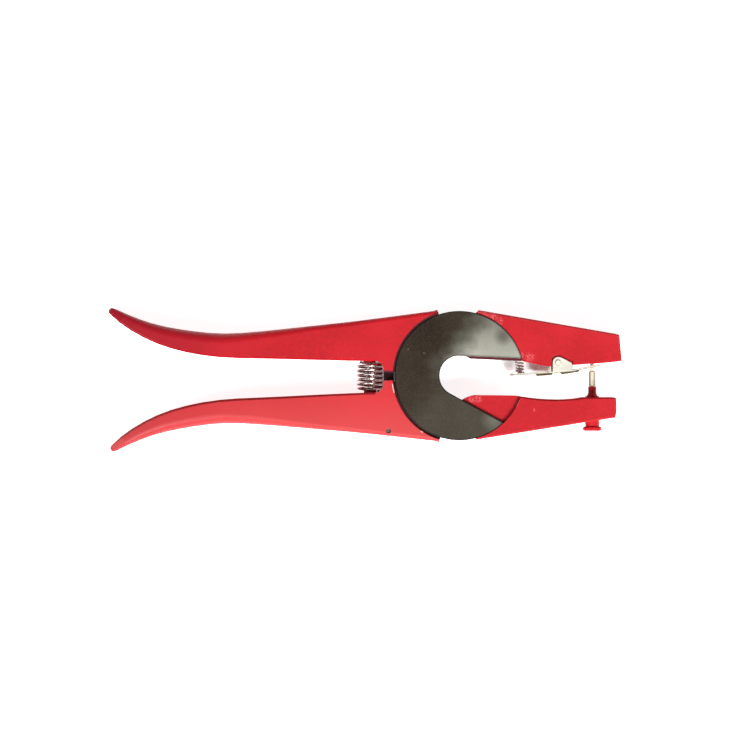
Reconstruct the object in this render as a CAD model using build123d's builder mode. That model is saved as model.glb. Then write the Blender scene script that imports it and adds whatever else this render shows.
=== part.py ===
"""Ear tag applicator: two crossed die-cast levers that turn about the open throat of two side plates.

Lengths are millimetres and angles are degrees. The origin is on the turning axis at mid thickness,
+X runs from the handles to the jaws, +Y is up in the side view and +Z is across the thickness.
The fixed lever is the lower handle with the upper jaw, and the moving lever is the upper handle
with the lower jaw. Between the side plates each lever is a web, and on the handle side the two webs
are halved over each other.
"""

import os
from math import cos, pi, radians, sin, tan

from build123d import *

os.makedirs("parts", exist_ok=True)

# Castings
casting_thickness = 24.0
jaw_edge_break = 0.8

# Side plates and the throat between them
plate_radius = 31.5
plate_thickness = 2.0
plate_setback = 0.3
plate_edge_break = 0.35
throat_radius = 9.7
notch_top_slope = 2.5
notch_low_slope = 28.7

# Travel of the moving lever, for the stud slots
opening_angle = 28.0
closing_angle = 5.0

# Fits and gaps
journal_clearance = 0.1
face_clearance = 0.1
jaw_seat_gap = 0.3
handle_seat_gap = 0.9
web_rim_inset = 0.25
seat_clearance = 0.02
pin_clearance = 0.05
moving_gap = 0.3

# Webs between the plates
fixed_web_inner_radius = 10.0
moving_web_inner_radius = 12.0
upper_jaw_tip_angle = 75.4
lower_jaw_tip_angle = -75.8
upper_handle_tip_angle = 108.4
fixed_web_end_angle = 246.0
web_bite = 1.6
root_end_angle = 176.0

# One handle serves both levers: the lower one is its mirror image, swung down a little.
# The tables give the width, the rounding of the outer edges and the bevel of the inner ones along x.
handle_swing = 1.35
handle_outer = [
    (-6.0, 32.4), (-24.0, 30.1), (-44.6, 27.3), (-66.9, 24.8), (-89.3, 22.4), (-102.0, 21.2),
    (-115.5, 20.6), (-132.2, 22.1), (-149.5, 25.5), (-162.9, 30.35), (-168.3, 32.8),
]
handle_inner = [
    (-6.0, 7.1), (-24.0, 7.1), (-44.6, 7.2), (-66.9, 7.6), (-89.3, 8.2), (-102.0, 8.45),
    (-115.5, 8.9), (-132.2, 11.2), (-146.2, 15.2), (-157.4, 20.5), (-166.8, 26.9), (-170.1, 29.9),
]
handle_widths = [(-171.0, 15.0), (-170.0, 19.5), (-167.5, 22.6), (-162.0, 24.0)]
handle_outer_radii = [
    (-171.0, 0.6), (-168.0, 1.6), (-160.0, 3.2), (-146.0, 4.6), (-115.5, 5.2), (-66.9, 2.6), (-6.0, 1.6),
]
handle_inner_bevels = [(-171.0, 0.4), (-160.0, 1.2), (-6.0, 0.9)]
handle_stations = 16
handle_station_power = 0.6
handle_tip_angles = [30.0, 60.0, 82.0]
seat_edge_break = 0.4
lobe_width = 4.5
lobe_bottom_y = 1.4
lobe_top_y = 12.0
lobe_corner_radius = 1.2
lap_half_width = 4.0
lap_tongue_inset = 0.2
lap_tongue_top_y = 2.5
pocket_corner_radius = 4.2
pocket_seat_y = 7.3

# Lightening channel on the inner side of each handle
channel_wall = 3.5
channel_start_x = -65.0
channel_end_x = -157.4
channel_corner_radius = 3.0

# Handle spring and the spigots that hold it
wire_sides = 6
points_per_turn = 12
handle_spring_lobe_gap = 0.4
handle_spring_wire = 1.2
handle_spring_mean_radius = 5.8
handle_spring_end_radius = 4.1
handle_spring_turns = 6.5
handle_spring_top_y = 7.2
handle_spring_bottom_y = -8.0
spigot_radius = 3.0
spigot_height = 1.3
seat_embed = 1.0

# Roll pin across the lower handle
roll_pin_x = -34.5
roll_pin_y = -26.9
roll_pin_radius = 1.2
roll_pin_bore_radius = 0.75
roll_pin_length = 22.0
roll_pin_slit = 0.35

# Upper jaw
upper_jaw_top = [(9.5, 31.9), (77.9, 20.1)]
upper_jaw_hub_tip = (7.9, 30.4)
upper_jaw_underside = [(79.1, 7.05), (67.1, 5.95), (56.0, 5.3), (44.3, 4.6), (37.0, 5.8), (31.4, 7.05)]
upper_jaw_throat_corner = (29.3, 9.0)
upper_web_underside = [(2.6, 9.65), (4.6, 8.35), (29.0, 7.2)]
needle_channel_width = 9.0
needle_channel_start_x = 58.5
needle_channel_roof = 4.5

# Lower jaw
lower_jaw_heel = [(1.2, -11.95), (4.6, -10.2), (7.9, -9.4)]
lower_jaw_dip = [(28.0, -9.7), (39.8, -11.3), (47.0, -11.6), (54.7, -11.3), (60.0, -10.5)]
lower_jaw_top_y = -10.5
lower_jaw_end_x = 76.2
lower_jaw_end_bulge = 0.35
lower_jaw_bottom = [(76.0, -20.4), (8.3, -31.15)]

# Studs that join the plates through the webs
stud_rim_distance = 10.9
stud_angles = [46.0, 172.0, 236.0]
stud_radius = 2.0
stud_neck_radius = 1.5
stud_blind_depth = 1.3
stud_head_radius = 2.6
stud_head_depth = 1.0

# Sprung clip under the upper jaw
clip_pivot_x = 48.05
clip_pivot_y = 6.2
clip_sheet = 0.9
clip_line = [(24.9, 0.45), (27.3, 0.7), (45.0, 1.6), (55.3, 2.45), (68.9, 5.25)]
clip_tab_width = 16.0
clip_fork_width = 15.0
clip_body_x = [43.2, 57.0]
clip_fork_slot_width = 5.4
clip_fork_slot_start_x = 58.8
clip_corner_radius = 3.0
lug_left_x = 45.4
lug_right_x = 54.9
lug_top_y = 9.1
lug_shoulder_x = 49.3
lug_shoulder_y = 6.1
lug_face_z = 11.2
lug_crown_radius = 2.6
lip_depth = 0.9
lip_spans = [(37.3, 46.0), (49.4, 59.1)]
lug_recess_margin = 1.1
clip_pin_radius = 1.25
clip_pin_head_radius = 1.55
clip_pin_head_height = 0.65

# Clip spring
clip_spring_x = 29.6
clip_spring_wire = 0.8
clip_spring_mean_radius = 1.9
clip_spring_turns = 3.5
clip_spring_top_y = 7.1
clip_dimple_radius = 1.1
clip_dimple_height = 0.7

# Needle, its boot and the screwed holder
needle_x = 65.1
needle_radius = 1.58
needle_root_radius = 1.2
needle_tip_radius = 0.95
needle_point_radius = 0.3
needle_shank_y = [-5.0, 1.8]
needle_shoulder_height = 0.7
needle_taper_y = 8.2
needle_point_y = 9.6
needle_head_radius = 2.9
needle_head_height = 1.9
boot_radius = 1.95
boot_top_y = -5.2
boot_flare_y = -8.4
boot_flare_radius = 2.7
boot_flange_radius = 3.4
boot_flange_height = 0.5
holder_bore_top_y = -13.0
holder_neck_radius = 3.5
holder_flange_radius = 4.65
holder_flange_y = [-24.8, -27.0]
holder_edge_radius = 0.6

# Planes that follow from the sizes above
half_thickness = casting_thickness / 2
plate_outer_z = half_thickness - plate_setback
plate_inner_z = plate_outer_z - plate_thickness
moving_web_z = plate_inner_z - face_clearance
lap_z = face_clearance / 2
web_radius = plate_radius - web_rim_inset
moving_seat_radius = plate_radius + journal_clearance
jaw_seat_radius = plate_radius + jaw_seat_gap
handle_seat_radius = plate_radius + handle_seat_gap
stud_circle_radius = plate_radius - stud_rim_distance
far = 3 * plate_radius
lobe_left_x = -handle_seat_radius - lobe_width
lobe_right_x = lobe_left_x + 2 * lobe_width
handle_spring_x = lobe_left_x - handle_spring_lobe_gap - handle_spring_wire / 2 - handle_spring_mean_radius


def polar(radius, angle):
    """The point at this radius and angle about the turning axis."""
    return (radius * cos(radians(angle)), radius * sin(radians(angle)))


def save(builder, name):
    """Names the finished piece and writes its file."""
    builder.part.label = name
    export_step(builder.part, f"parts/{name}.step")


def slab(sketch, low, high):
    """A sketch drawn on the mid plane, extruded between two heights."""
    with BuildPart() as piece:
        with BuildSketch(Plane.XY.offset(low)):
            add(sketch)
        extrude(amount=high - low)
    return piece.part


# Sketches of the hub
def fan(start, end, inner_radius, outer_radius):
    """A sector of a ring about the turning axis."""
    with BuildSketch() as sector:
        with BuildLine():
            rim = CenterArc((0, 0), outer_radius, start, end - start)
            Line((0, 0), rim @ 0)
            Line(rim @ 1, (0, 0))
        make_face()
        Circle(inner_radius, mode=Mode.SUBTRACT)
    return sector.sketch


def above_web_underside(sector):
    """Trims a sector of the fixed web to the edge that shows in the throat's top."""
    start, step, end = upper_web_underside
    slope = (end[1] - step[1]) / (end[0] - step[0])
    with BuildSketch() as trimmed:
        add(sector)
        with BuildLine():
            Polyline(
                (0, 0),
                start,
                step,
                (far, step[1] + slope * (far - step[0])),
                (far, 0),
                close=True,
            )
        make_face(mode=Mode.SUBTRACT)
    return trimmed.sketch


# Handle, shared by both levers
def between(table, x):
    """The value at x from a table of (x, value) rows that rise in x."""
    if x >= table[-1][0]:
        return table[-1][1]
    for (x0, y0), (x1, y1) in zip(table, table[1:]):
        if x <= x1:
            break
    return y0 + (y1 - y0) * (x - x0) / (x1 - x0)


def handle_sections():
    """The middle, direction and height of each section, square to the run, and round the tip."""
    with BuildLine(mode=Mode.PRIVATE):
        outer = Spline(handle_outer)
        inner = Spline(handle_inner)
    sections = []
    for station in range(handle_stations + 1):
        share = (station / handle_stations) ** handle_station_power
        across = (outer @ share) - (inner @ share)
        sections.append((inner @ share + across / 2, across, across.length))
    middle, across, height = sections[-1]
    onward = Vector(0, 0, 1).cross(across).normalized()
    for angle in handle_tip_angles:
        reach = height / 2 * sin(radians(angle))
        sections.append((middle + onward * reach, across, height * cos(radians(angle))))
    return sections


def handle_loft():
    """The grip and shank, lofted from inside the hub to the rounded tip."""
    with BuildPart() as shank:
        for middle, upward, height in handle_sections():
            across = Plane(origin=middle, x_dir=upward, z_dir=upward.cross(Vector(0, 0, 1)))
            width = between(handle_widths, middle.X)
            radius = min(between(handle_outer_radii, middle.X), height / 2)
            bevel = min(between(handle_inner_bevels, middle.X), height / 3)
            with BuildSketch(across):
                with Locations((-radius, 0)):
                    RectangleRounded(height + 2 * radius, width, radius)
                with BuildLine():
                    Polyline(
                        (height, width / 2),
                        (bevel - height / 2, width / 2),
                        (-height / 2, width / 2 - bevel),
                        (-height / 2, bevel - width / 2),
                        (bevel - height / 2, -width / 2),
                        (height, -width / 2),
                        close=True,
                    )
                make_face(mode=Mode.INTERSECT)
        loft(ruled=True)
    return shank.part


def lobe_outline():
    """The lobe beside the spring, with the rounded corner of the spring's pocket."""
    with BuildSketch() as lobe:
        with BuildLine():
            pocket_x = lobe_left_x - pocket_corner_radius
            pocket_y = pocket_seat_y - pocket_corner_radius
            pocket = RadiusArc((pocket_x, pocket_seat_y), (lobe_left_x, pocket_y), pocket_corner_radius)
            Polyline(
                pocket @ 1,
                (lobe_left_x, lobe_bottom_y),
                (lobe_right_x, lobe_bottom_y),
                (lobe_right_x, lobe_top_y),
                (pocket_x, lobe_top_y),
                pocket @ 0,
            )
        make_face()
        corner = lobe.vertices().sort_by_distance((lobe_left_x, lobe_bottom_y))[0]
        fillet(corner, lobe_corner_radius)
    return lobe.sketch


def handle_channel():
    """The side view of the lightening channel, open on the handle's inner side."""
    roof = [(x, y - channel_wall) for x, y in handle_outer if channel_end_x <= x <= channel_start_x]
    with BuildSketch() as profile:
        with BuildLine():
            Spline(roof)
            Polyline(roof[-1], (roof[-1][0], 0), (roof[0][0], 0), roof[0])
        make_face()
        for place in (roof[0], roof[-1]):
            fillet(profile.vertices().sort_by_distance(place)[0], channel_corner_radius)
    return profile.sketch


def handle_body(seat_radius):
    """The full thickness part of a handle, outside its seat round the plates."""
    with BuildPart() as body:
        add(handle_loft())
        with BuildSketch():
            add(lobe_outline())
        extrude(amount=half_thickness, both=True)
        with BuildSketch():
            Circle(seat_radius)
            with BuildLine():
                tip_side = polar(far, upper_handle_tip_angle)
                Polyline((0, 0), tip_side, (far, far), (far, 0), close=True)
            make_face()
        extrude(amount=2 * half_thickness, both=True, mode=Mode.SUBTRACT)
        with BuildSketch():
            add(handle_channel())
        extrude(amount=half_thickness - channel_wall, both=True, mode=Mode.SUBTRACT)
        for side in (1, -1):
            with BuildSketch(Plane.XY.offset(side * half_thickness)):
                Circle(seat_radius + seat_edge_break)
            extrude(amount=-side * seat_edge_break, taper=45, mode=Mode.SUBTRACT)
        with BuildSketch(Plane.XZ.offset(-pocket_seat_y - seat_embed)):
            with Locations((handle_spring_x, 0)):
                Circle(spigot_radius)
        extrude(amount=spigot_height + seat_embed)
    return body.part


def handle_root(low, high):
    """The part of a handle that runs under the plates into its web."""
    with BuildPart() as root:
        with BuildSketch(Plane.XY.offset(low)):
            add(fan(upper_handle_tip_angle, root_end_angle, web_radius - web_bite,
                    handle_seat_radius + web_bite))
        extrude(amount=high - low)
    return root.part


def lap_band(low_y, high_y, start_x, end_x, half_width):
    """A block between the lobes, for the tongue on one and the slot in the other."""
    with BuildPart() as block:
        with Locations(((start_x + end_x) / 2, (low_y + high_y) / 2, 0)):
            Box(end_x - start_x, high_y - low_y, 2 * half_width)
    return block.part


def lower(part):
    """Turns an upper handle piece into the lower one."""
    return part.mirror(Plane.XZ).rotate(Axis.Z, handle_swing)


upper_handle_body = handle_body(moving_seat_radius)
upper_handle_root = handle_root(-moving_web_z, -lap_z)
lower_handle_body = lower(handle_body(handle_seat_radius))
lower_handle_root = lower(handle_root(lap_z, plate_inner_z))


# Upper jaw outline, with its throat corner bevelled
def upper_jaw_outline():
    """The upper jaw's side view, carried on inside the hub."""
    with BuildSketch() as outline:
        with BuildLine():
            underside = Spline(upper_jaw_underside)
            Polyline(
                underside @ 1,
                upper_jaw_throat_corner,
                polar(2 * throat_radius, upper_jaw_tip_angle),
                upper_jaw_hub_tip,
                *upper_jaw_top,
                underside @ 0,
            )
        make_face()
    return outline.sketch


def lug_outline(margin):
    """The clip's side lug, or the recess round it when a margin is given."""
    with BuildSketch() as lug:
        with BuildLine():
            Polyline(
                (lug_left_x - margin / 2, clip_line[2][1]),
                (lug_left_x - margin / 2, lug_top_y + margin),
                (lug_shoulder_x + margin / 2, lug_top_y + margin),
                (lug_right_x + margin / 2, lug_shoulder_y + margin),
                (lug_right_x + margin / 2, clip_line[2][1]),
                close=True,
            )
        make_face()
        crown = lug.vertices().sort_by_distance((lug_left_x, lug_top_y + margin))[0]
        fillet(crown, lug_crown_radius)
        shoulder = lug.vertices().sort_by_distance((lug_shoulder_x, lug_top_y + margin))[0]
        fillet(shoulder, lug_crown_radius)
        toe = lug.vertices().sort_by_distance((lug_right_x, lug_shoulder_y + margin))[0]
        fillet(toe, lug_crown_radius / 2)
    return lug.sketch


# Fixed lever: lower handle, half web and upper jaw in one casting
lug_recess_z = lug_face_z - clip_sheet - moving_gap
jaw_slope = (upper_jaw_top[1][1] - upper_jaw_top[0][1]) / (upper_jaw_top[1][0] - upper_jaw_top[0][0])


def channel_roof(x):
    """The height of the needle channel's roof, below the jaw's sloping top."""
    return upper_jaw_top[0][1] + jaw_slope * (x - upper_jaw_top[0][0]) - needle_channel_roof


with BuildPart() as fixed_lever:
    with BuildSketch():
        add(upper_jaw_outline())
    extrude(amount=half_thickness, both=True)
    levels = fixed_lever.edges().group_by(Axis.Z)
    jaw_start_x = upper_jaw_underside[-1][0]
    rims = (levels[0] + levels[-1]).filter_by(lambda e: e.center().X > jaw_start_x)
    chamfer(rims, jaw_edge_break)
    with BuildSketch():
        Circle(jaw_seat_radius)
    extrude(amount=half_thickness, both=True, mode=Mode.SUBTRACT)
    with BuildSketch(Plane.XY.offset(-plate_inner_z)):
        add(upper_jaw_outline())
        Circle(jaw_seat_radius + web_bite, mode=Mode.INTERSECT)
        Circle(web_radius - web_bite, mode=Mode.SUBTRACT)
    extrude(amount=2 * plate_inner_z)
    full_web = above_web_underside(fan(0, upper_jaw_tip_angle, fixed_web_inner_radius, web_radius))
    add(slab(full_web, -plate_inner_z, plate_inner_z))
    half_web = fan(
        upper_jaw_tip_angle, fixed_web_end_angle, fixed_web_inner_radius, web_radius
    )
    add(slab(half_web, lap_z, plate_inner_z))
    add(lower_handle_body)
    add(lower_handle_root)
    tongue_start_x = lobe_left_x + lap_tongue_inset
    tongue_end_x = -web_radius - 2 * moving_gap
    add(lap_band(-lobe_top_y / 2, lap_tongue_top_y, tongue_start_x, tongue_end_x, lap_half_width))
    # channel that takes the needle's point, open below and at the jaw's end
    with BuildSketch():
        with BuildLine():
            Polyline(
                (needle_channel_start_x, 0),
                (needle_channel_start_x, channel_roof(needle_channel_start_x)),
                (far, channel_roof(far)),
                (far, 0),
                close=True,
            )
        make_face()
    extrude(amount=needle_channel_width / 2, both=True, mode=Mode.SUBTRACT)
    # recesses for the clip's lugs, front and rear
    for side in (1, -1):
        with BuildSketch(Plane.XY.offset(side * lug_recess_z)):
            add(lug_outline(lug_recess_margin))
        extrude(amount=side * half_thickness, mode=Mode.SUBTRACT)
    with Locations((clip_pivot_x, clip_pivot_y, 0)):
        Hole(clip_pin_radius + seat_clearance)
    with Locations((roll_pin_x, roll_pin_y, 0)):
        Hole(roll_pin_radius + seat_clearance)
    with Locations([polar(stud_circle_radius, a) for a in stud_angles]):
        Hole(stud_radius + seat_clearance)
save(fixed_lever, "fixed_lever")


# Lower jaw outline
def lower_jaw_outline():
    with BuildSketch() as outline:
        with BuildLine():
            heel = Spline(lower_jaw_heel)
            Line(heel @ 1, lower_jaw_dip[0])
            dip = Spline(lower_jaw_dip)
            Line(dip @ 1, (lower_jaw_end_x, lower_jaw_top_y))
            mid_y = (lower_jaw_top_y + lower_jaw_bottom[0][1]) / 2
            ThreePointArc(
                (lower_jaw_end_x, lower_jaw_top_y),
                (lower_jaw_end_x + lower_jaw_end_bulge, mid_y),
                lower_jaw_bottom[0],
            )
            Polyline(
                *lower_jaw_bottom,
                polar(web_radius - web_bite, lower_jaw_tip_angle),
                heel @ 0,
            )
        make_face()
    return outline.sketch


# Moving lever: upper handle, half web and lower jaw in one casting
with BuildPart() as moving_lever:
    with BuildSketch():
        add(lower_jaw_outline())
    extrude(amount=half_thickness, both=True)
    levels = moving_lever.edges().group_by(Axis.Z)
    jaw_start_x = lower_jaw_dip[0][0]
    rims = (levels[0] + levels[-1]).filter_by(lambda e: e.center().X > jaw_start_x)
    chamfer(rims, jaw_edge_break)
    with BuildSketch():
        Circle(moving_seat_radius)
    extrude(amount=half_thickness, both=True, mode=Mode.SUBTRACT)
    with BuildSketch(Plane.XY.offset(-moving_web_z)):
        add(lower_jaw_outline())
        Circle(moving_seat_radius + web_bite, mode=Mode.INTERSECT)
    extrude(amount=2 * moving_web_z)
    half_web = fan(
        upper_handle_tip_angle, 360 + lower_jaw_tip_angle, moving_web_inner_radius, web_radius
    )
    add(slab(half_web, -moving_web_z, -lap_z))
    add(upper_handle_body)
    add(upper_handle_root)
    slot_top_y = lap_tongue_top_y - tongue_start_x * sin(radians(closing_angle)) + 2 * moving_gap
    slot = lap_band(0, slot_top_y, 2 * lobe_left_x, -web_radius, lap_half_width + moving_gap)
    add(slot, mode=Mode.SUBTRACT)
    # slots that let the studs pass over the whole travel
    with BuildSketch(Plane.XY.offset(-moving_web_z)):
        for angle in stud_angles[1:]:
            with BuildLine(mode=Mode.PRIVATE):
                path = CenterArc(
                    (0, 0), stud_circle_radius, angle - closing_angle, opening_angle + closing_angle
                )
            SlotArc(path, 2 * (stud_radius + moving_gap))
    extrude(amount=moving_web_z, mode=Mode.SUBTRACT)
    # stepped bore for the needle and its holder
    with BuildSketch(Plane.XZ.offset(-holder_bore_top_y)):
        with Locations((needle_x, 0)):
            Circle(holder_neck_radius + pin_clearance)
    extrude(amount=far, mode=Mode.SUBTRACT)
    with BuildSketch(Plane.XZ):
        with Locations((needle_x, 0)):
            Circle(needle_root_radius + pin_clearance)
    extrude(amount=-holder_bore_top_y + 1, mode=Mode.SUBTRACT)
save(moving_lever, "moving_lever")


# Side plates
def plate_outline():
    """A disc with the open throat cut from its jaw side."""
    top = polar(throat_radius, 90 - notch_top_slope)
    low = polar(throat_radius, -90 - notch_low_slope)
    top_far = (far, top[1] - (far - top[0]) * tan(radians(notch_top_slope)))
    low_far = (far, low[1] - (far - low[0]) * tan(radians(notch_low_slope)))
    with BuildSketch() as outline:
        Circle(plate_radius)
        Circle(throat_radius, mode=Mode.SUBTRACT)
        with BuildLine():
            Polyline((0, 0), top, top_far, low_far, low, close=True)
        make_face(mode=Mode.SUBTRACT)
    return outline.sketch


with BuildPart() as front_side_plate:
    add(slab(plate_outline(), plate_inner_z, plate_outer_z))
    chamfer(front_side_plate.edges().group_by(Axis.Z)[-1], plate_edge_break)
    with BuildSketch(Plane.XY.offset(plate_inner_z)):
        with Locations([polar(stud_circle_radius, a) for a in stud_angles]):
            Circle(stud_neck_radius + seat_clearance)
    extrude(amount=stud_blind_depth + seat_clearance, mode=Mode.SUBTRACT)
save(front_side_plate, "front_side_plate")

with BuildPart() as rear_side_plate:
    add(slab(plate_outline(), -plate_outer_z, -plate_inner_z))
    chamfer(rear_side_plate.edges().group_by(Axis.Z)[0], plate_edge_break)
    with Locations([(*polar(stud_circle_radius, a), -plate_outer_z) for a in stud_angles]):
        Cylinder(
            stud_neck_radius + seat_clearance,
            plate_thickness,
            align=(Align.CENTER, Align.CENTER, Align.MIN),
            mode=Mode.SUBTRACT,
        )
        Cone(
            stud_head_radius + seat_clearance,
            stud_neck_radius + seat_clearance,
            stud_head_depth,
            align=(Align.CENTER, Align.CENTER, Align.MIN),
            mode=Mode.SUBTRACT,
        )
save(rear_side_plate, "rear_side_plate")

# Studs: blind in the front plate, riveted flush in the rear plate
for number, angle in enumerate(stud_angles, start=1):
    x, y = polar(stud_circle_radius, angle)
    at_bottom = (Align.CENTER, Align.CENTER, Align.MIN)
    with BuildPart() as stud:
        with Locations((x, y, -plate_inner_z)):
            Cylinder(stud_radius, 2 * plate_inner_z, align=at_bottom)
        with Locations((x, y, plate_inner_z)):
            Cylinder(stud_neck_radius, stud_blind_depth, align=at_bottom)
        with Locations((x, y, -plate_outer_z)):
            Cylinder(stud_neck_radius, plate_thickness, align=at_bottom)
            Cone(stud_head_radius, stud_neck_radius, stud_head_depth, align=at_bottom)
    save(stud, f"plate_stud_{number}")


# Coil springs with ends that can draw in
def coil(x, bottom_y, top_y, wire, mean_radius, end_radius, turns):
    """A spring along Y, evenly wound, whose last turn at each end draws in to the end radius."""
    steps = round(turns * points_per_turn)
    low = bottom_y + wire / 2
    rise = (top_y - wire / 2 - low) / steps
    points = []
    for step in range(steps + 1):
        share = min(step, steps - step, points_per_turn) / points_per_turn
        radius = end_radius + (mean_radius - end_radius) * share * (2 - share)
        angle = 2 * pi * step / points_per_turn
        points.append((x + radius * cos(angle), low + rise * step, radius * sin(angle)))
    with BuildPart() as spring:
        with BuildLine() as path:
            Polyline(points)
        start = Plane(origin=path.line @ 0, z_dir=path.line % 0)
        with BuildSketch(start):
            RegularPolygon(wire / 2, wire_sides)
        sweep(path=path.line, transition=Transition.RIGHT)
    return spring


handle_spring = coil(
    handle_spring_x,
    handle_spring_bottom_y,
    handle_spring_top_y,
    handle_spring_wire,
    handle_spring_mean_radius,
    handle_spring_end_radius,
    handle_spring_turns,
)
save(handle_spring, "handle_spring")

# Roll pin, slit along its length
with BuildPart() as handle_roll_pin:
    with BuildSketch(Plane.XY.offset(-roll_pin_length / 2)):
        with Locations((roll_pin_x, roll_pin_y)):
            Circle(roll_pin_radius)
            Circle(roll_pin_bore_radius, mode=Mode.SUBTRACT)
            Rectangle(
                roll_pin_radius + 1,
                roll_pin_slit,
                align=(Align.MIN, Align.CENTER),
                mode=Mode.SUBTRACT,
            )
    extrude(amount=roll_pin_length)
save(handle_roll_pin, "handle_roll_pin")


# Clip: one folded sheet with a thumb tab, two lugs and a forked end
def clip_edge(shift):
    """The sheet's middle line moved up or down by this much."""
    return [(x, y + shift) for x, y in clip_line]


def clip_height(x):
    """The height of the sheet's middle line here."""
    return between(clip_line, x)


with BuildPart() as clip:
    with BuildSketch():
        with BuildLine():
            Polyline(*clip_edge(clip_sheet / 2), *reversed(clip_edge(-clip_sheet / 2)), close=True)
        make_face()
    extrude(amount=lug_face_z, both=True)
    # plan shape: thumb tab, body between the lugs, fork round the needle
    with BuildSketch(Plane.XZ.offset(-far)):
        tab_x, fork_x = clip_line[0][0], clip_line[-1][0]
        with Locations((tab_x - 1, 0)):
            Rectangle(clip_body_x[1] - tab_x, clip_tab_width, align=(Align.MIN, Align.CENTER))
        with Locations((clip_body_x[0], 0)):
            size = clip_body_x[1] - clip_body_x[0]
            Rectangle(size, 2 * lug_face_z, align=(Align.MIN, Align.CENTER))
            size = fork_x - clip_body_x[0] + 1
            Rectangle(size, clip_fork_width, align=(Align.MIN, Align.CENTER))
        with Locations((clip_fork_slot_start_x + clip_fork_slot_width / 2, 0)):
            Circle(clip_fork_slot_width / 2, mode=Mode.SUBTRACT)
            size = fork_x - clip_fork_slot_start_x
            Rectangle(
                size, clip_fork_slot_width, align=(Align.MIN, Align.CENTER), mode=Mode.SUBTRACT
            )
    extrude(amount=2 * far, mode=Mode.INTERSECT)
    corners = clip.edges().filter_by(lambda e: abs(e.tangent_at(0).Y) > 0.9)
    fillet(corners.group_by(Axis.X)[0], clip_corner_radius)
    # lugs folded up on both sides, and the lips that stiffen the sheet
    for side in (1, -1):
        with BuildSketch(Plane.XY.offset(side * (lug_face_z - clip_sheet))):
            add(lug_outline(0))
            with Locations((clip_pivot_x, clip_pivot_y)):
                Circle(clip_pin_radius + pin_clearance, mode=Mode.SUBTRACT)
        extrude(amount=side * clip_sheet)
        with BuildSketch(Plane.XY.offset(side * (clip_fork_width / 2 - clip_sheet))):
            for start, end in lip_spans:
                with BuildLine():
                    Polyline(
                        (start, clip_height(start)),
                        (start + lip_depth, clip_height(start) - clip_sheet / 2 - lip_depth),
                        (end - lip_depth, clip_height(end) - clip_sheet / 2 - lip_depth),
                        (end, clip_height(end)),
                        close=True,
                    )
                make_face()
        extrude(amount=side * clip_sheet)
    # dimple inside the clip spring
    with BuildSketch(Plane.XZ.offset(-clip_height(clip_spring_x))):
        with Locations((clip_spring_x, 0)):
            Circle(clip_dimple_radius)
    extrude(amount=-(clip_sheet / 2 + clip_dimple_height))
save(clip, "clip")

# Pin through the jaw and both lugs, with a riveted head at each end
with BuildPart() as clip_pivot_pin:
    with BuildSketch():
        with Locations((clip_pivot_x, clip_pivot_y)):
            Circle(clip_pin_radius)
    extrude(amount=lug_face_z + pin_clearance, both=True)
    for side in (1, -1):
        with BuildSketch(Plane.XY.offset(side * (lug_face_z + pin_clearance))):
            with Locations((clip_pivot_x, clip_pivot_y)):
                Circle(clip_pin_head_radius)
        extrude(amount=side * clip_pin_head_height)
    heads = clip_pivot_pin.edges().group_by(Axis.Z)
    chamfer(heads[0] + heads[-1], clip_pin_head_height / 3)
save(clip_pivot_pin, "clip_pivot_pin")

clip_spring = coil(
    clip_spring_x,
    clip_height(clip_spring_x) + clip_sheet / 2 + pin_clearance,
    clip_spring_top_y,
    clip_spring_wire,
    clip_spring_mean_radius,
    clip_spring_mean_radius,
    clip_spring_turns,
)
save(clip_spring, "clip_spring")


# Needle, boot and holder, turned about the needle's axis
def turned(points):
    """A solid of revolution about the needle's axis, from (radius, height) points."""
    with BuildPart() as piece:
        with BuildSketch():
            with BuildLine():
                Polyline([(needle_x + r, y) for r, y in points], close=True)
            make_face()
        revolve(axis=Axis((needle_x, 0, 0), (0, 1, 0)))
    return piece.part


with BuildPart() as needle:
    shank_low, shank_high = needle_shank_y
    seat_y = holder_bore_top_y - pin_clearance
    add(turned([
        (0, seat_y - needle_head_height),
        (needle_head_radius, seat_y - needle_head_height),
        (needle_head_radius, seat_y),
        (needle_root_radius, seat_y),
        (needle_root_radius, shank_low),
        (needle_radius, shank_low),
        (needle_radius, shank_high),
        (needle_tip_radius, shank_high + needle_shoulder_height),
        (needle_tip_radius, needle_taper_y),
        (needle_point_radius, needle_point_y),
        (0, needle_point_y),
    ]))
save(needle, "needle")

with BuildPart() as needle_boot:
    bore = needle_root_radius + pin_clearance
    flange_top_y = lower_jaw_top_y + boot_flange_height
    add(turned([
        (bore, lower_jaw_top_y),
        (boot_flange_radius, lower_jaw_top_y),
        (boot_flange_radius, flange_top_y),
        (boot_flare_radius, flange_top_y),
        (boot_radius, boot_flare_y),
        (boot_radius, boot_top_y),
        (bore, boot_top_y),
    ]))
save(needle_boot, "needle_boot")

with BuildPart() as needle_holder:
    top_y = holder_bore_top_y - 2 * pin_clearance - needle_head_height
    flange_high, flange_low = holder_flange_y
    add(turned([
        (0, top_y),
        (holder_neck_radius, top_y),
        (holder_neck_radius, flange_high),
        (holder_flange_radius, flange_high),
        (holder_flange_radius, flange_low),
        (0, flange_low),
    ]))
    flange = needle_holder.edges().filter_by(GeomType.CIRCLE)
    flange = flange.filter_by(lambda e: abs(e.radius - holder_flange_radius) < 0.01)
    chamfer(flange, holder_edge_radius)
save(needle_holder, "needle_holder")
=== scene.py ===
from math import pi

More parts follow.
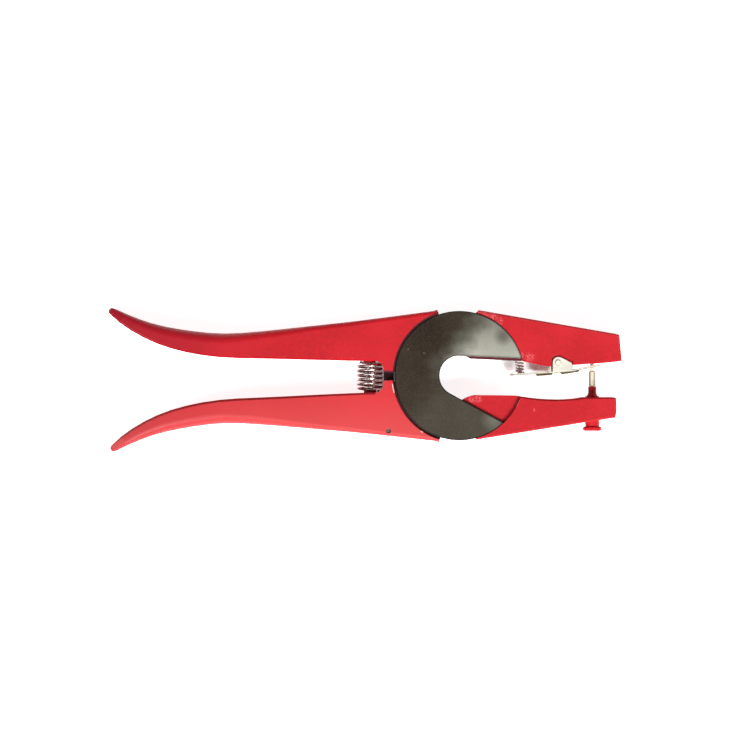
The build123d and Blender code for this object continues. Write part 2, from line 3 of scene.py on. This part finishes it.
import bpy
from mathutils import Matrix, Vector


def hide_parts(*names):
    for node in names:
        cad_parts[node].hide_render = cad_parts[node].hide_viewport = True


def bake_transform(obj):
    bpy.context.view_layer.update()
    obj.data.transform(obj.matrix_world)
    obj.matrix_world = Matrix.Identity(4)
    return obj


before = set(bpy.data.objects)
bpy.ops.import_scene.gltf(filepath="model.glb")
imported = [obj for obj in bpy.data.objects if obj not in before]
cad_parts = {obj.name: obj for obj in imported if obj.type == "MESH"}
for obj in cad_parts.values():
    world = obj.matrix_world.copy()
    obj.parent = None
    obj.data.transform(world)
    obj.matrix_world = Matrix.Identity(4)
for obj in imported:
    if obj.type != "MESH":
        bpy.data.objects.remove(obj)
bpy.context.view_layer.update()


# Two aluminium castings in red enamel: each is a handle, a half lapped web and a jaw in one.
# They are die cast in a two part mould and stove enamelled, so the paint is a grained satin, thin
# on the edges, chipped round the lower handle's seat, with a parting line. Painted shade darkens the
# throat, the lap, the seat gaps and the upper grip, and a painted sheen pales the lower handle.
levers = ["fixed_lever", "moving_lever"]
lever_face_z = 0.012
web_face_z = 0.0096
enamel_red = (0.395, 0.0080, 0.0135, 1)
enamel_deep_red = (0.310, 0.0040, 0.0085, 1)
enamel_painted_sheen = (0.42, 0.042, 0.043, 1)
enamel_painted_sheen_grip = (0.345, 0.038, 0.040, 1)
enamel_painted_grip_shade = (0.200, 0.0030, 0.0100, 1)
enamel_scuffed = (0.52, 0.115, 0.125, 1)
enamel_thin = (0.36, 0.028, 0.034, 1)
rubbed_metal = (0.60, 0.52, 0.49, 1)
throat_painted_shade = (0.030, 0.006, 0.010, 1)
most_of_a_noise = (0.3, 0.7)

column_step = 220
row_step = 280
columns = 8


def add_node(tree, kind):
    """Adds a node in the next place of a grid that stands left of the shader."""
    node = tree.nodes.new(kind)
    row, column = divmod(len(tree.nodes), columns)
    node.location = (column_step * (column - columns - 1), -row_step * row)
    return node


def feed(tree, value, socket):
    """Links another node's output to a socket, or sets the socket to a fixed value."""
    if isinstance(value, bpy.types.NodeSocket):
        tree.links.new(value, socket)
    else:
        socket.default_value = value


def new_material(name):
    """A material with only its Principled shader and the object's own coordinates."""
    material = bpy.data.materials.new(name)
    material.use_nodes = True
    tree = material.node_tree
    place = add_node(tree, "ShaderNodeTexCoord").outputs["Object"]
    return material, tree, tree.nodes["Principled BSDF"], place


def new_group(name, numbers, masks):
    """An empty shader node group that reads a place and these numbers and puts out these masks."""
    group = bpy.data.node_groups.new(name, "ShaderNodeTree")
    group.interface.new_socket("Place", in_out="INPUT", socket_type="NodeSocketVector")
    for number_name, value in numbers.items():
        number = group.interface.new_socket(number_name, in_out="INPUT", socket_type="NodeSocketFloat")
        number.default_value = value
    for mask_name in masks:
        group.interface.new_socket(mask_name, in_out="OUTPUT", socket_type="NodeSocketFloat")
    start = add_node(group, "NodeGroupInput")
    end = group.nodes.new("NodeGroupOutput")
    return group, start.outputs, end.inputs


def place_group(tree, group, place, **values):
    """Puts a node group in a material, sets its inputs and gives its outputs."""
    node = add_node(tree, "ShaderNodeGroup")
    node.node_tree = group
    feed(tree, place, node.inputs["Place"])
    for name, value in values.items():
        feed(tree, value, node.inputs[name.replace("_", " ")])
    return node.outputs


def noise(tree, place, scale, detail):
    """A noise texture read at this place."""
    texture = add_node(tree, "ShaderNodeTexNoise")
    feed(tree, place, texture.inputs["Vector"])
    feed(tree, scale, texture.inputs["Scale"])
    feed(tree, detail, texture.inputs["Detail"])
    return texture.outputs["Fac"]


def spread(tree, value, span, to=(0, 1)):
    """Maps a value from one span to another, held at the ends."""
    ranged = add_node(tree, "ShaderNodeMapRange")
    feed(tree, value, ranged.inputs["Value"])
    for name, number in zip(("From Min", "From Max", "To Min", "To Max"), (*span, *to)):
        feed(tree, number, ranged.inputs[name])
    return ranged.outputs["Result"]


def calculate(tree, operation, first, second=0):
    """A math node on two sockets or numbers."""
    node = add_node(tree, "ShaderNodeMath")
    node.operation = operation
    feed(tree, first, node.inputs[0])
    feed(tree, second, node.inputs[1])
    return node.outputs["Value"]


def product(tree, first, *others):
    """Two or more values, multiplied."""
    for other in others:
        first = calculate(tree, "MULTIPLY", first, other)
    return first


def largest(tree, first, *others):
    """The largest of two or more values."""
    for other in others:
        first = calculate(tree, "MAXIMUM", first, other)
    return first


def vector_math(tree, operation, first, second=(0, 0, 0)):
    """A vector math node on two sockets or fixed vectors."""
    node = add_node(tree, "ShaderNodeVectorMath")
    node.operation = operation
    feed(tree, first, node.inputs[0])
    feed(tree, second, node.inputs[1])
    return node.outputs["Vector" if operation == "SUBTRACT" else "Value"]


def axes(tree, vector):
    """The three outputs X, Y and Z of a vector."""
    node = add_node(tree, "ShaderNodeSeparateXYZ")
    feed(tree, vector, node.inputs["Vector"])
    return node.outputs


def mix_colour(tree, factor, first, second):
    """Mixes two colours, each a socket or a fixed colour, by a factor."""
    node = add_node(tree, "ShaderNodeMix")
    node.data_type = "RGBA"
    feed(tree, factor, node.inputs["Factor"])
    from_socket, to_socket = [socket for socket in node.inputs if socket.type == "RGBA"]
    feed(tree, first, from_socket)
    feed(tree, second, to_socket)
    return next(socket for socket in node.outputs if socket.type == "RGBA")


def bump(tree, shader, height, distance, strength):
    """Feeds a height to the shader's normal through a bump node."""
    node = add_node(tree, "ShaderNodeBump")
    feed(tree, distance, node.inputs["Distance"])
    feed(tree, strength, node.inputs["Strength"])
    feed(tree, height, node.inputs["Height"])
    feed(tree, node.outputs["Normal"], shader.inputs["Normal"])


def near(tree, place, *spots):
    """One within any spot's inner distance, fading to nothing at its outer distance."""
    mask = 0
    for point, inner, outer in spots:
        away = vector_math(tree, "DISTANCE", place, point)
        mask = largest(tree, mask, spread(tree, away, (inner, outer), (1, 0)))
    return mask


def finish_pieces(names, material):
    """Gives pieces from the frame this material and no other."""
    for name in names:
        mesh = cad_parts[name].data
        mesh.materials.clear()
        mesh.materials.append(material)


# rubbed edges: the surface's normal against the same normal rounded over a small radius; the Edge output
# also carries the painted edge shade of the plates and the clip
edge_likeness = (0.985, 0.86)
worn_noise = (0.42, 0.62)
edge_wear, start, end = new_group("edge_wear", {"Radius": 0.0006, "Patchiness": 400.0}, ["Mask", "Edge"])
rounded = add_node(edge_wear, "ShaderNodeBevel")
rounded.samples = 6
feed(edge_wear, start["Radius"], rounded.inputs["Radius"])
surface_normal = add_node(edge_wear, "ShaderNodeNewGeometry").outputs["Normal"]
likeness = vector_math(edge_wear, "DOT_PRODUCT", rounded.outputs["Normal"], surface_normal)
edge = spread(edge_wear, likeness, edge_likeness)
patches = noise(edge_wear, start["Place"], scale=start["Patchiness"], detail=4)
feed(edge_wear, product(edge_wear, edge, spread(edge_wear, patches, worn_noise)), end["Mask"])
feed(edge_wear, edge, end["Edge"])

# handling marks: broad soft patches, and fine scratches that run slanting along the piece
scratch_turn = (0, 0, 0.6)
scratch_scale = (60, 2600, 400)
scratch_noise = (0.66, 0.74)
patch_noise = (0.35, 0.65)
handling, start, end = new_group("handling_marks", {"Patch size": 45.0}, ["Patches", "Scratches"])
patches = noise(handling, start["Place"], scale=start["Patch size"], detail=5)
feed(handling, spread(handling, patches, patch_noise), end["Patches"])
stretch = add_node(handling, "ShaderNodeMapping")
feed(handling, scratch_turn, stretch.inputs["Rotation"])
feed(handling, scratch_scale, stretch.inputs["Scale"])
feed(handling, start["Place"], stretch.inputs["Vector"])
scratch_lines = noise(handling, stretch.outputs["Vector"], scale=1.0, detail=3)
feed(handling, spread(handling, scratch_lines, scratch_noise), end["Scratches"])

mottle_strength = (0.4, 1.6)
enamel, tree, shader, place = new_material("red_enamel")
x, y, z = axes(tree, place)
wear = place_group(tree, edge_wear, place, Radius=0.0007, Patchiness=260.0)
marks = place_group(tree, handling, place, Patch_size=28.0)
grain = noise(tree, place, scale=620.0, detail=3)
mottle = product(tree, marks["Patches"], spread(tree, grain, most_of_a_noise, mottle_strength))
tone = mix_colour(tree, mottle, enamel_red, enamel_deep_red)

# painted sheen: the lower handle is paler and pinker, most of all towards its outer edge and less on the
# grip
lower_handle_x = (-0.010, 0.002)
lower_handle_y = (-0.003, 0.0)
sheen_y = (-0.034, -0.004)
sheen_strength = (1.0, 0.25)
lower_grip_x = (-0.150, -0.100)
grip_sheen = 0.7
grip_tone_x = (-0.150, -0.095)
painted_sheen = product(
    tree,
    spread(tree, y, sheen_y, sheen_strength),
    spread(tree, x, lower_grip_x, (grip_sheen, 1)),
    spread(tree, x, lower_handle_x, (1, 0)),
    spread(tree, y, lower_handle_y, (1, 0)),
)
on_the_grip = spread(tree, x, grip_tone_x, (1, 0))
sheen_tone = mix_colour(tree, on_the_grip, enamel_painted_sheen, enamel_painted_sheen_grip)
tone = mix_colour(tree, painted_sheen, tone, sheen_tone)

# painted shade: the upper grip is darker, more and more towards its tip
upper_grip_x = (-0.160, -0.095)
upper_handle_y = (0.0, 0.003)
grip_shade_strength = 0.85
painted_grip_shade = product(
    tree,
    spread(tree, x, upper_grip_x, (grip_shade_strength, 0)),
    spread(tree, y, upper_handle_y),
)
tone = mix_colour(tree, painted_grip_shade, tone, enamel_painted_grip_shade)

# pale scuffs along the upper jaw's seat, on the lower jaw and its heel, and on the holder
scuff_core = 0.4
scuff_noise = (0.44, 0.60)
scuff_strength = 0.65
thinned_strength = 0.35
scuffs = [
    ((0.0100, 0.0316, lever_face_z), 0.0022),
    ((0.0132, 0.0306, lever_face_z), 0.0026),
    ((0.0166, 0.0290, lever_face_z), 0.0026),
    ((0.0198, 0.0266, lever_face_z), 0.0022),
    ((0.0343, 0.0090, lever_face_z), 0.0030),
    ((0.0300, 0.0100, lever_face_z), 0.0018),
    ((0.0364, -0.0165, lever_face_z), 0.0009),
    ((0.0060, -0.0118, web_face_z), 0.0022),
    ((0.0092, -0.0112, web_face_z), 0.0024),
    ((0.0651, -0.0330, 0.0045), 0.0065),
]
scuff_flecks = spread(tree, noise(tree, place, scale=1250.0, detail=4), scuff_noise, (0, scuff_strength))
scuffed = near(tree, place, *[(point, scuff_core * reach, reach) for point, reach in scuffs])
tone = mix_colour(tree, product(tree, scuff_flecks, scuffed), tone, enamel_scuffed)
thinned = spread(tree, wear["Mask"], (0, 1), (0, thinned_strength))
coat = mix_colour(tree, thinned, tone, enamel_thin)

# bare metal where the edges are rubbed through, and in chips round the lower handle's seat
chipped_radius = 0.0328
chip_width = 0.0003
chip_core = 0.7
chip_strength = 0.75
bare_wear = (0.90, 0.99)
bare_strength = 0.2
chips = [((-0.0327, -0.0062, lever_face_z), 0.0026), ((-0.0182, -0.0272, lever_face_z), 0.0008)]
flat = add_node(tree, "ShaderNodeCombineXYZ")
feed(tree, x, flat.inputs["X"])
feed(tree, y, flat.inputs["Y"])
from_axis = vector_math(tree, "LENGTH", flat.outputs["Vector"])
off_the_seat = calculate(tree, "ABSOLUTE", calculate(tree, "SUBTRACT", from_axis, chipped_radius))
chipped = product(
    tree,
    spread(tree, off_the_seat, (0.5 * chip_width, chip_width), (1, 0)),
    near(tree, place, *[(point, chip_core * reach, reach) for point, reach in chips]),
    chip_strength,
)
bare = largest(tree, spread(tree, wear["Mask"], bare_wear, (0, bare_strength)), chipped)
painted = mix_colour(tree, bare, coat, rubbed_metal)

# painted shade, near black, on the webs under the plates above the throat, in the lap behind the plates,
# and in the gap between the plates and the handles' seats
hub_rim = (0.0314, 0.0318)
above_the_throat_y = (0.0005, 0.002)
lap_tip_x = (-0.0372, -0.0368)
lap_root_x = (-0.0314, -0.0310)
lap_half_height = (0.0020, 0.0028)
gap_inside = (0.0300, 0.0305)
gap_outside = (0.0324, 0.0326)
handle_side_x = (-0.004, 0.0)
hub_shade_strength = 0.9
gap_shade_strength = 0.95
shade_on_the_hub = product(
    tree,
    spread(tree, from_axis, hub_rim, (1, 0)),
    spread(tree, y, above_the_throat_y, (0, hub_shade_strength)),
)
shade_in_the_lap = product(
    tree,
    spread(tree, x, lap_tip_x),
    spread(tree, x, lap_root_x, (1, 0)),
    spread(tree, calculate(tree, "ABSOLUTE", y), lap_half_height, (1, 0)),
)
shade_in_the_gap = product(
    tree,
    spread(tree, from_axis, gap_inside),
    spread(tree, from_axis, gap_outside, (1, 0)),
    spread(tree, x, handle_side_x, (gap_shade_strength, 0)),
)
painted_shade = largest(tree, shade_on_the_hub, shade_in_the_lap, shade_in_the_gap)
feed(tree, mix_colour(tree, painted_shade, painted, throat_painted_shade), shader.inputs["Base Color"])

# a satin skin with the paint's grain in it, and the mould's parting line round the middle
parting_line_half_width = 0.00025
grain_height = 0.6
scratch_roughness = 0.12
satin = (0.40, 0.52)
gloss = spread(tree, grain, most_of_a_noise, satin)
scratched = product(tree, marks["Scratches"], scratch_roughness)
feed(tree, calculate(tree, "ADD", gloss, scratched), shader.inputs["Roughness"])
seam = spread(tree, calculate(tree, "ABSOLUTE", z), (0, parting_line_half_width), (1, 0))
skin = calculate(tree, "ADD", product(tree, grain, grain_height), seam)
bump(tree, shader, skin, distance=0.00006, strength=0.6)
shader.inputs["Specular IOR Level"].default_value = 0.16
shader.inputs["Coat Weight"].default_value = 0.03
shader.inputs["Coat Roughness"].default_value = 0.25
finish_pieces(levers, enamel)


# Two blanked steel side plates that lap the webs and leave the ear's throat open.
# They are pressed from 2 mm sheet, tumbled and chemically blackened: a satin brown grey with a
# fine speckle and one dark stain, with a painted pale reflection over the throat's upper side, two
# fainter painted highlights, painted shade round the edges, and nicked twice.
side_plates = ["front_side_plate", "rear_side_plate"]
blacked_steel = (0.0225, 0.0160, 0.0102, 1)
blacked_steel_deep = (0.0130, 0.0075, 0.0042, 1)
plate_edge_painted_shade = (0.006, 0.005, 0.004, 1)
speckle_light = (0.056, 0.044, 0.027, 1)
blacked_steel_rubbed = (0.110, 0.098, 0.078, 1)
reflection_steel_pale = (0.285, 0.285, 0.240, 1)
plate_face_z = 0.0117
deep_spot = ((-0.0165, 0.0230, plate_face_z), 0.004, 0.016)
stain = ((0.0211, 0.0190, plate_face_z), 0.0012, 0.0052)
painted_highlights = [
    (((-0.0105, 0.0060, plate_face_z), 0.001, 0.0065), 0.09),
    (((0.0170, -0.0215, plate_face_z), 0.001, 0.0090), 0.26),
]
nicks = [
    ((-0.0249, 0.0129, plate_face_z), 0.0002, 0.0004),
    ((-0.0172, 0.0110, plate_face_z), 0.0002, 0.0005),
]


def past_line(tree, place, start, square):
    """How far a place is past a line, given a point on it and the direction square to it."""
    return vector_math(tree, "DOT_PRODUCT", vector_math(tree, "SUBTRACT", place, start), square)


speckle_noise = (0.45, 0.75)
speckle_strength = 0.6
blacked, tree, shader, place = new_material("blacked_plate")
y = axes(tree, place)["Y"]
wear = place_group(tree, edge_wear, place, Radius=0.0014, Patchiness=320.0)
marks = place_group(tree, handling, place, Patch_size=60.0)
speckle = spread(tree, noise(tree, place, scale=2600.0, detail=2), speckle_noise, (0, speckle_strength))
ground = mix_colour(tree, near(tree, place, deep_spot), blacked_steel, blacked_steel_deep)
tone = mix_colour(tree, speckle, ground, speckle_light)

# painted reflection: a pale area past a slanting ragged line above the throat, weaker towards the rim,
# but for the stain, with two fainter painted highlights behind the throat and on the plate's lower tip
pale_edge_start = (0.0073, 0.0305, plate_face_z)
pale_edge_slant = (0.814, -0.583, 0.0)
raggedness = 0.002
pale_edge = (-0.004, 0.011)
pale_edge_softness = 1.6
over_the_throat_y = (-0.002, 0.008)
towards_the_rim_y = (0.011, 0.024)
pale_below_the_throat = 0.06
pale_in_the_stain = 0.42
pale_at_the_rim = 0.50
ragged = spread(tree, noise(tree, place, scale=160.0, detail=4), most_of_a_noise,
                (-raggedness, raggedness))
past = calculate(tree, "ADD", past_line(tree, place, pale_edge_start, pale_edge_slant), ragged)
painted_reflection = product(
    tree,
    calculate(tree, "POWER", spread(tree, past, pale_edge), pale_edge_softness),
    spread(tree, y, over_the_throat_y, (pale_below_the_throat, 1)),
    spread(tree, near(tree, place, stain), (0, 1), (1, pale_in_the_stain)),
    spread(tree, y, towards_the_rim_y, (1, pale_at_the_rim)),
)
for spot, strength in painted_highlights:
    painted_reflection = largest(tree, painted_reflection, product(tree, near(tree, place, spot), strength))
reflected_tone = mix_colour(tree, painted_reflection, tone, reflection_steel_pale)

# painted shade round the edges, and a paler metal in worn spots, nicks and scratches
worn_strength = 0.12
scratch_strength = 0.25
tumbled = (0.42, 0.54)
edge_shaded = mix_colour(tree, wear["Edge"], reflected_tone, plate_edge_painted_shade)
marked = largest(
    tree,
    product(tree, wear["Mask"], worn_strength),
    near(tree, place, *nicks),
    product(tree, marks["Scratches"], scratch_strength),
)
feed(tree, mix_colour(tree, marked, edge_shaded, blacked_steel_rubbed), shader.inputs["Base Color"])
feed(tree, spread(tree, marks["Patches"], (0, 1), tumbled), shader.inputs["Roughness"])
bump(tree, shader, noise(tree, place, scale=2200.0, detail=3), distance=0.00003, strength=0.5)
shader.inputs["Metallic"].default_value = 0.6
shader.inputs["Specular IOR Level"].default_value = 0.2
finish_pieces(side_plates, blacked)


# Three turned steel studs, blind in the front plate and riveted flush in the rear one.
# Their hammered heads are bright, with a fine grain, dull patches and a few scratches.
studs = ["plate_stud_1", "plate_stud_2", "plate_stud_3"]
turned_steel = (0.46, 0.43, 0.39, 1)
turned_steel_dull = (0.25, 0.23, 0.20, 1)
metal_patchiness = 700.0
metal_scratch_roughness = 0.15


def metal(name, bright, dull, gloss, grain, patch_size, metallic=1.0,
          edge_radius=0.0003, edge_shade=None, painted_side_tone=None, painted_side_mask=None):
    """A bare or plated metal with a fine grain, dull patches, rubbed edges or painted edge shade, and a
    side with painted shade.
    """
    made, tree, shader, place = new_material(name)
    wear = place_group(tree, edge_wear, place, Radius=edge_radius, Patchiness=metal_patchiness)
    marks = place_group(tree, handling, place, Patch_size=patch_size)
    tone = mix_colour(tree, marks["Patches"], bright, dull)
    if painted_side_tone:
        tone = mix_colour(tree, painted_side_mask(tree, place), tone, painted_side_tone)
    edge_line = wear["Edge"] if edge_shade else wear["Mask"]
    feed(tree, mix_colour(tree, edge_line, tone, edge_shade or bright), shader.inputs["Base Color"])
    even = spread(tree, marks["Patches"], (0, 1), gloss)
    scratched = product(tree, marks["Scratches"], metal_scratch_roughness)
    feed(tree, calculate(tree, "ADD", even, scratched), shader.inputs["Roughness"])
    bump(tree, shader, noise(tree, place, scale=grain, detail=3), distance=0.00002, strength=0.4)
    shader.inputs["Metallic"].default_value = metallic
    return made


stud_steel = metal("stud_steel", turned_steel, turned_steel_dull, gloss=(0.28, 0.45), grain=2500.0,
                   patch_size=300.0)
finish_pieces(studs, stud_steel)


# Compression spring between the handles: round spring steel wire, coiled with drawn in ends.
# It is held by a spigot under each handle and pushes them apart after each squeeze.
spring_wire = 0.0012
spring_radius = 0.0058
spring_end_radius = 0.0041
spring_turns = 6.5
spring_x = -0.0437
spring_low = -0.0080
spring_high = 0.0072
wire_sides = 14
steps_per_turn = 32
spring_bright = (0.74, 0.70, 0.68, 1)
spring_dull = (0.32, 0.27, 0.26, 1)


def deselect_all():
    """Leaves edit mode and selects nothing."""
    if bpy.context.object and bpy.context.object.mode != "OBJECT":
        bpy.ops.object.mode_set(mode="OBJECT")
    bpy.ops.object.select_all(action="DESELECT")


def coil_spring(name, x, low, high, wire, radius, end_radius, turns):
    """A ring of wire wound up along Y, with each end turn pressed in towards the axis."""
    rise = high - low - wire
    pitch = rise / turns
    deselect_all()
    bpy.ops.mesh.primitive_circle_add(vertices=wire_sides, radius=wire / 2, fill_type="NGON",
                                      location=(radius, 0, 0), rotation=(pi / 2, 0, 0))
    bpy.ops.object.transform_apply(location=True, rotation=True, scale=True)
    spring = bpy.context.object
    spring.name = name
    screw = spring.modifiers.new("wind", "SCREW")
    screw.angle = 2 * pi * turns
    screw.screw_offset = rise
    screw.steps = round(steps_per_turn * turns)
    screw.render_steps = screw.steps
    screw.use_merge_vertices = True
    bpy.ops.object.modifier_apply(modifier="wind")
    for vertex in spring.data.vertices:
        along = vertex.co.z
        from_end = max(0.0, min(along, rise - along)) / pitch
        share = min(from_end, 1.0)
        reach = (vertex.co.x ** 2 + vertex.co.y ** 2) ** 0.5
        drawn = (radius - end_radius) * (1 - share * (2 - share))
        vertex.co.x *= (reach - drawn) / reach
        vertex.co.y *= (reach - drawn) / reach
    bpy.ops.object.mode_set(mode="EDIT")
    bpy.ops.mesh.select_all(action="SELECT")
    bpy.ops.mesh.normals_make_consistent(inside=False)
    bpy.ops.object.mode_set(mode="OBJECT")
    spring.rotation_euler = (-pi / 2, 0, 0)
    spring.location = (x, low + wire / 2, 0)
    bpy.ops.object.transform_apply(location=True, rotation=True, scale=True)
    bpy.ops.object.shade_smooth()
    return spring


handle_spring = coil_spring("handle_spring_wire", spring_x, spring_low, spring_high, spring_wire,
                            spring_radius, spring_end_radius, spring_turns)
spring_steel = metal("spring_steel", spring_bright, spring_dull, gloss=(0.22, 0.38), grain=1800.0,
                     patch_size=160.0)
handle_spring.data.materials.append(spring_steel)
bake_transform(handle_spring)
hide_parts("handle_spring")


# Slit roll pin across the lower handle, rolled from brassed strip and driven in.
# The brass has gone dull and brown.
brass = (0.24, 0.17, 0.07, 1)
brass_brown = (0.08, 0.055, 0.025, 1)
pin_brass = metal("pin_brass", brass, brass_brown, gloss=(0.32, 0.5), grain=2200.0, patch_size=400.0)
finish_pieces(["handle_roll_pin"], pin_brass)


# Sprung clip under the upper jaw that holds one half of the tag: one piece of folded bright
# sheet with a thumb tab, two lugs and a forked end, on a headed pin through the jaw.
plated_sheet = (0.92, 0.88, 0.77, 1)
plated_sheet_dull = (0.74, 0.69, 0.56, 1)
sheet_edge_painted_shade = (0.13, 0.10, 0.05, 1)
sheet_painted_underside_shade = (0.09, 0.07, 0.03, 1)
arm_runs = [
    ((0.0273, 0.00070, 0.0), (-0.0508, 0.9987, 0.0)),
    ((0.0450, 0.00160, 0.0), (-0.0822, 0.9966, 0.0)),
    ((0.0553, 0.00245, 0.0), (-0.2017, 0.9794, 0.0)),
]
below_the_arm = (-0.00030, -0.00010)
facing_sideways = (0.5, 0.8)


def shade_under_the_arm(tree, place):
    """One on the cut edge below the clip's bent arm and on its lips' sides, where shade is painted."""
    above = 1.0
    for run_start, run_square in arm_runs:
        above = calculate(tree, "MINIMUM", past_line(tree, place, run_start, run_square), above)
    object_normal = add_node(tree, "ShaderNodeTexCoord").outputs["Normal"]
    sideways = calculate(tree, "ABSOLUTE", axes(tree, object_normal)["Z"])
    below = spread(tree, above, below_the_arm, (1, 0))
    return product(tree, below, spread(tree, sideways, facing_sideways))


# the clip's cut edges and the underside below its arm carry painted shade
clip_sheet = metal("bright_sheet", plated_sheet, plated_sheet_dull, gloss=(0.30, 0.42), grain=2600.0,
                   patch_size=180.0, metallic=0.8, edge_radius=0.0005, edge_shade=sheet_edge_painted_shade,
                   painted_side_tone=sheet_painted_underside_shade, painted_side_mask=shade_under_the_arm)
finish_pieces(["clip", "clip_pivot_pin"], clip_sheet)


# Small spring over the thumb tab, wound from fine bright wire, that shuts the clip.
# Its top stands in the upper jaw and its foot on the tab.
clip_spring_wire = 0.0008
clip_spring_x = 0.0296
clip_spring_top = 0.0071
clip_spring_low = 0.0013
clip_spring_radius = 0.0019
clip_spring_turns = 3.5
wire_bright = (0.86, 0.80, 0.78, 1)
wire_dull = (0.50, 0.42, 0.42, 1)
clip_spring = coil_spring("clip_spring_wire", clip_spring_x, clip_spring_low, clip_spring_top,
                          clip_spring_wire, clip_spring_radius, clip_spring_radius, clip_spring_turns)
bright_wire = metal("bright_wire", wire_bright, wire_dull, gloss=(0.22, 0.35), grain=2200.0,
                    patch_size=500.0, metallic=0.5)
clip_spring.data.materials.append(bright_wire)
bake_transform(clip_spring)
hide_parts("clip_spring")


# Needle that pierces the ear and carries the tag's stem: turned and ground bright steel.
# Its head is drawn up into the lower jaw by the holder, and it turns with that jaw.
needle_axis_x = 0.0651
dark_flank_span = (0.0008, 0.0012)
ground_steel = (0.86, 0.81, 0.68, 1)
ground_steel_dull = (0.66, 0.60, 0.48, 1)
painted_flank_reflection = (0.14, 0.11, 0.06, 1)


def dark_reflected_flanks(tree, place):
    """One on the needle's flanks, where a dark reflection is painted."""
    from_the_axis = calculate(tree, "SUBTRACT", axes(tree, place)["X"], needle_axis_x)
    return spread(tree, calculate(tree, "ABSOLUTE", from_the_axis), dark_flank_span)


needle_steel = metal("needle_steel", ground_steel, ground_steel_dull, gloss=(0.22, 0.34), grain=3000.0,
                     patch_size=350.0, metallic=0.6, painted_side_tone=painted_flank_reflection, painted_side_mask=dark_reflected_flanks)
finish_pieces(["needle"], needle_steel)


# Boot round the needle's root, moulded in red plastic with a matt skin.
# Its flange stands on the lower jaw's face.
boot_plastic = (0.34, 0.005, 0.009, 1)
boot_plastic_deep = (0.26, 0.004, 0.008, 1)
matt = (0.42, 0.56)
boot_red, tree, shader, place = new_material("boot_red")
marks = place_group(tree, handling, place, Patch_size=220.0)
feed(tree, mix_colour(tree, marks["Patches"], boot_plastic, boot_plastic_deep), shader.inputs["Base Color"])
feed(tree, spread(tree, marks["Patches"], (0, 1), matt), shader.inputs["Roughness"])
bump(tree, shader, noise(tree, place, scale=2600.0, detail=3), distance=0.00003, strength=0.5)
shader.inputs["Specular IOR Level"].default_value = 0.2
finish_pieces(["needle_boot"], boot_red)


# Screwed holder that draws the needle's head up into the jaw.
# It is painted with the castings, in the same enamel.
finish_pieces(["needle_holder"], enamel)


# Studio: a pale light table that the tool lies on, broad soft lights and a long lens from above.
# The table glows, with painted shadows, seen only by the camera, where the tool's small parts shade it,
# and it is clear from below, so that the tool's rear can be seen lit by it.
floor_z = -0.0122
floor_size = 3.0
floor_white = (0.95, 0.95, 0.95, 1)
floor_glow = (1, 1, 1, 1)
floor_glow_painted_shadow = (0.12, 0.12, 0.12, 1)
paper_matt = (0.86, 0.90)
painted_shadow_places = [
    ((-0.036, 0.0, floor_z), 0.007, 0.013),
    ((0.0400, 0.0070, floor_z), 0.005, 0.008),
    ((0.0240, 0.0070, floor_z), 0.002, 0.008),
    ((-0.0345, -0.0269, floor_z), 0.003, 0.005),
]
deselect_all()
bpy.ops.mesh.primitive_plane_add(size=floor_size, location=(0, 0, floor_z))
bpy.ops.object.transform_apply(location=True, rotation=True, scale=True)
floor = bpy.context.object
floor.name = "pale_sheet"
paper, tree, shader, place = new_material("pale_sheet")
shader.inputs["Base Color"].default_value = floor_white
paper_roughness = spread(tree, noise(tree, place, scale=6.0, detail=2), most_of_a_noise, paper_matt)
feed(tree, paper_roughness, shader.inputs["Roughness"])
seen_by_camera = add_node(tree, "ShaderNodeLightPath").outputs["Is Camera Ray"]
painted_shadow = product(tree, near(tree, place, *painted_shadow_places), seen_by_camera)
feed(tree, mix_colour(tree, painted_shadow, floor_glow, floor_glow_painted_shadow), shader.inputs["Emission Color"])
shader.inputs["Emission Strength"].default_value = 0.82
seen_from_below = add_node(tree, "ShaderNodeNewGeometry").outputs["Backfacing"]
feed(tree, calculate(tree, "SUBTRACT", 1, seen_from_below), shader.inputs["Alpha"])
floor.data.materials.append(paper)

lamp_size = 0.9
for name, stand, aim, power in [
    ("key_softbox", (0.50, -0.95, 1.35), (-0.02, 0.0, 0.0), 55.0),
    ("left_softbox", (-0.95, -0.70, 1.45), (-0.05, 0.0, 0.0), 20.0),
    ("upper_right_fill", (1.0, 0.9, 1.10), (0.0, 0.0, 0.0), 2.0),
]:
    lamp = bpy.data.lights.new(name, "AREA")
    lamp.shape = "DISK"
    lamp.size = lamp_size
    lamp.energy = power
    light = bpy.data.objects.new(name, lamp)
    bpy.context.scene.collection.objects.link(light)
    light.location = stand
    light.rotation_euler = (Vector(aim) - Vector(stand)).to_track_quat("-Z", "Y").to_euler()

world = bpy.data.worlds.new("pale_room")
world.use_nodes = True
background = world.node_tree.nodes["Background"]
background.inputs["Color"].default_value = (1, 1, 1, 1)
background.inputs["Strength"].default_value = 0.20
bpy.context.scene.world = world
bpy.context.scene.view_settings.view_transform = "Standard"

# the camera looks straight down, and the photograph's frame is this wide at the levers' faces
view_width = 0.3648
view_centre = (-0.04105, 0.00034)
view_height_above_faces = 2.5
sensor_width = 36.0
lens = bpy.data.cameras.new("long_lens")
lens.sensor_width = sensor_width
lens.lens = sensor_width * view_height_above_faces / view_width
lens.clip_end = 20.0
camera = bpy.data.objects.new("camera", lens)
camera.location = (*view_centre, lever_face_z + view_height_above_faces)
bpy.context.scene.collection.objects.link(camera)
bpy.context.scene.camera = camera
